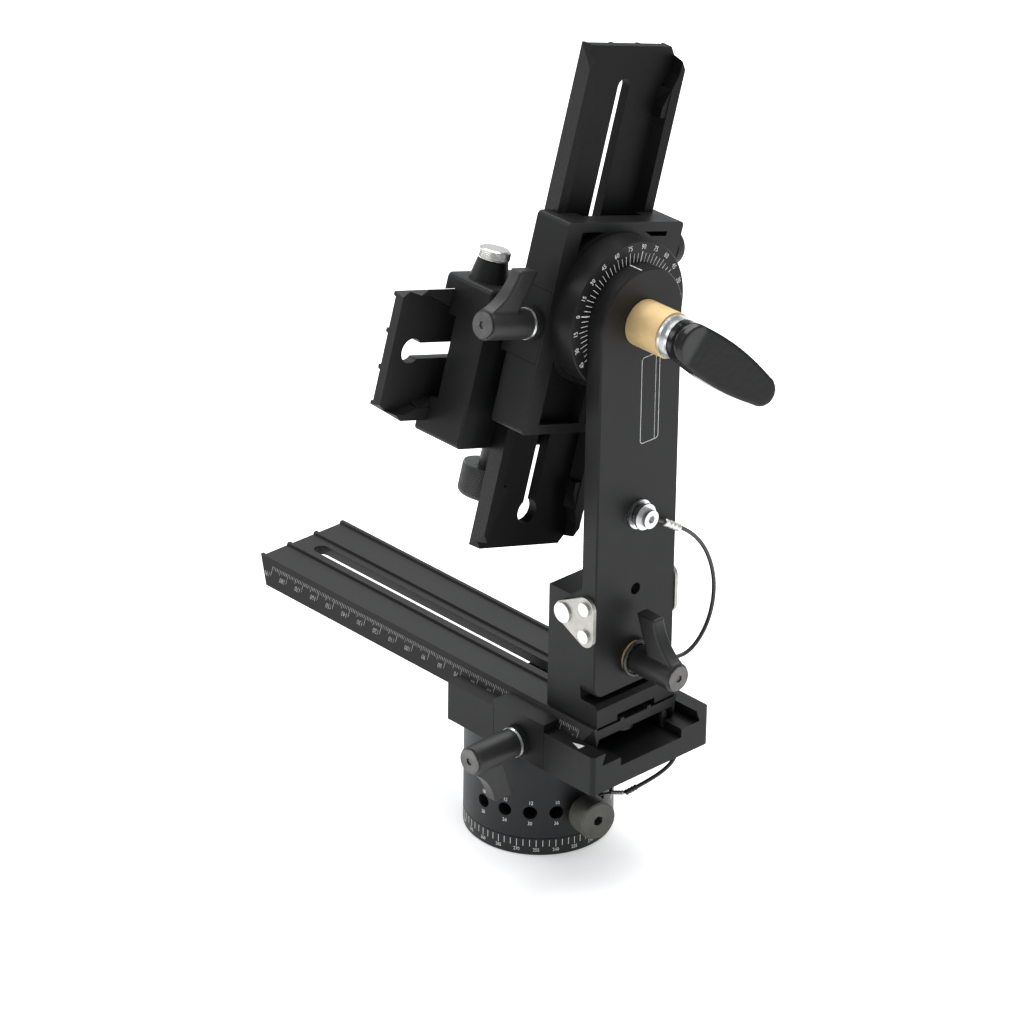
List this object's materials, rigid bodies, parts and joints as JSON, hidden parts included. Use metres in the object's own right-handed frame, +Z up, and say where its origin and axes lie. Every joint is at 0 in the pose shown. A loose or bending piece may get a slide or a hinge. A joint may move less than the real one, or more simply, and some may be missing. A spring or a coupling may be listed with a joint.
{
  "type": "multi-row panoramic tripod head",
  "caption": "Panoramic tripod head: indexed pan base, dovetail slides with clamps, folding arm with a tilt joint and a sliding camera plate.",
  "frame": {"origin": "centre of the base underside, on the pan axis", "axes": "+Z up along the pan axis, +X along the lower slide towards the arm, +Y away from the lower clamp knob"},
  "size_m": [0.2488, 0.1322, 0.3546],
  "materials": {
    "cast_black": "fine satin black coat on cast aluminium",
    "anodised_black": "satin black anodised",
    "knob_plastic": "matte black moulded",
    "lever_plastic": "glossy black moulded",
    "dark_steel": "dark oxide, turned",
    "zinc_steel": "zinc plated",
    "hinge_steel": "light passivated, pressed",
    "knurled_silver": "bright, diamond knurled",
    "knurled_dark": "dark greenish oxide, knurled",
    "brass": "matte turned",
    "cable_sheath": "dark sheath on steel wire",
    "ptfe": "white low-friction",
    "spring_steel": "bright wire"
  },
  "bodies": {
    "base": {"base_ring": "anodised_black", "base_spindle": "dark_steel", "tripod_bush": "zinc_steel", "spindle_nut": "dark_steel", "pan_washer": "ptfe"},
    "pan": {"pan_drum": "anodised_black", "lower_holder": "cast_black", "lower_holder_screws": "dark_steel", "lower_catch_spring": "spring_steel", "index_lanyard": "cable_sheath", "index_lanyard_loop": "cable_sheath"},
    "index_plunger": {"index_plunger": "knurled_dark", "index_spring": "spring_steel", "index_ball": "zinc_steel"},
    "lower_jaw": {"lower_clamp_jaw": "cast_black"},
    "lower_clamp_knob": {"lower_clamp_knob": "knob_plastic", "lower_knob_screw": "dark_steel"},
    "lower_stop_catch": {"lower_stop_catch": "dark_steel"},
    "lower_slide": {"lower_plate": "anodised_black", "arm_bracket": "cast_black", "bracket_screws": "dark_steel", "hinge_pins": "zinc_steel"},
    "arm": {"arm": "cast_black", "near_hinge_plate": "hinge_steel", "far_hinge_plate": "hinge_steel", "hinge_screws": "zinc_steel", "lock_washer": "brass", "brass_bush": "brass", "lanyard_screw": "zinc_steel", "screw_loop": "cable_sheath", "arm_lanyard": "cable_sheath"},
    "arm_lock": {"arm_lock_knob": "knob_plastic", "lock_knob_screw": "dark_steel"},
    "tilt": {"tilt_disc": "cast_black", "tilt_spindle": "dark_steel", "upper_holder": "cast_black", "upper_catch_spring": "spring_steel"},
    "tilt_lever": {"tilt_lever": "lever_plastic", "lever_stud": "zinc_steel"},
    "upper_jaw": {"upper_clamp_jaw": "cast_black"},
    "upper_clamp_knob": {"upper_clamp_knob": "knob_plastic", "upper_knob_screw": "dark_steel"},
    "upper_stop_catch": {"upper_stop_catch": "dark_steel"},
    "upper_slide": {"upper_plate": "anodised_black", "camera_holder": "cast_black", "camera_holder_spacer": "cast_black", "camera_holder_bolts": "dark_steel", "camera_catch_spring": "spring_steel"},
    "camera_jaw": {"camera_clamp_jaw": "cast_black"},
    "camera_clamp_knob": {"camera_clamp_knob": "knurled_dark"},
    "camera_stop_catch": {"camera_stop_catch": "knurled_silver"},
    "camera_slide": {"camera_plate": "anodised_black"},
    "camera_screw": {"camera_screw": "zinc_steel"}
  },
  "joints": [
    {"name": "pan", "type": "hinge", "parent": "base", "child": "pan", "pos_m": [0, 0, 0], "axis": [0, 0, 1], "continuous": true},
    {"name": "index_screw", "type": "hinge", "parent": "pan", "child": "index_plunger", "pos_m": [0.04432, -0.00781, 0.0205], "axis": [0.9848, -0.1736, 0], "range_deg": [0, 360]},
    {"name": "lower_jaw_release", "type": "slide", "parent": "pan", "child": "lower_jaw", "axis": [0, -1, 0], "range_m": [0, 0.001]},
    {"name": "lower_clamp_turn", "type": "hinge", "parent": "lower_jaw", "child": "lower_clamp_knob", "pos_m": [0.022, -0.0358, 0.0596], "axis": [0, -1, 0], "range_deg": [0, 360]},
    {"name": "lower_catch_turn", "type": "hinge", "parent": "pan", "child": "lower_stop_catch", "pos_m": [0.053, 0.03, 0.0583], "axis": [0, -1, 0], "range_deg": [0, 90]},
    {"name": "upper_jaw_release", "type": "slide", "parent": "tilt", "child": "upper_jaw", "axis": [0, -0.9613, 0.2756], "range_m": [0, 0.0000972]},
    {"name": "upper_clamp_turn", "type": "hinge", "parent": "upper_jaw", "child": "upper_clamp_knob", "pos_m": [0.0269, -0.03689, 0.25122], "axis": [0, -0.9613, 0.2756], "range_deg": [0, 35]},
    {"name": "upper_catch_turn", "type": "hinge", "parent": "tilt", "child": "upper_stop_catch", "pos_m": [0.0282, 0.0349, 0.26288], "axis": [0, -0.9613, 0.2756], "range_deg": [0, 90]},
    {"name": "camera_jaw_release", "type": "slide", "parent": "upper_slide", "child": "camera_jaw", "axis": [0, -0.2756, -0.9613], "range_m": [0, 0.001]},
    {"name": "camera_clamp_turn", "type": "hinge", "parent": "camera_jaw", "child": "camera_clamp_knob", "pos_m": [-0.0045, -0.02135, 0.18351], "axis": [0, -0.2756, -0.9613], "range_deg": [0, 360]},
    {"name": "camera_catch_turn", "type": "hinge", "parent": "upper_slide", "child": "camera_stop_catch", "pos_m": [-0.0032, -0.03013, 0.25448], "axis": [0, -0.2756, -0.9613], "range_deg": [0, 90]},
    {"name": "lower_slide", "type": "slide", "parent": "pan", "child": "lower_slide", "axis": [1, 0, 0], "range_m": [-0.025, 0.115]},
    {"name": "arm_fold", "type": "hinge", "parent": "lower_slide", "child": "arm", "pos_m": [0.0375, 0, 0.122], "axis": [0, -1, 0], "range_deg": [0, 75]},
    {"name": "arm_lock_turn", "type": "hinge", "parent": "arm", "child": "arm_lock", "pos_m": [0.06, 0, 0.1], "axis": [1, 0, 0], "range_deg": [0, 360]},
    {"name": "tilt", "type": "hinge", "parent": "arm", "child": "tilt", "pos_m": [0, 0, 0.25], "axis": [1, 0, 0], "range_deg": [-74, 106]},
    {"name": "lever_turn", "type": "hinge", "parent": "arm", "child": "tilt_lever", "pos_m": [0.08, 0, 0.25], "axis": [1, 0, 0], "range_deg": [-60, 60]},
    {"name": "upper_slide", "type": "slide", "parent": "tilt", "child": "upper_slide", "axis": [0, 0.2756, 0.9613], "range_m": [-0.049, 0.06]},
    {"name": "camera_slide", "type": "slide", "parent": "upper_slide", "child": "camera_slide", "axis": [0, -0.9613, 0.2756], "range_m": [-0.004, 0.02]},
    {"name": "camera_screw_slide", "type": "slide", "parent": "camera_slide", "child": "camera_screw", "axis": [0, -0.9613, 0.2756], "range_m": [-0.02, 0.04]}
  ],
  "couplings": [
    {"joint": "lower_clamp_turn", "follows": "lower_jaw_release", "rad_per_m": 6283.2},
    {"joint": "upper_clamp_turn", "follows": "upper_jaw_release", "rad_per_m": 6283.2},
    {"joint": "camera_clamp_turn", "follows": "camera_jaw_release", "rad_per_m": 6283.2}
  ]
}
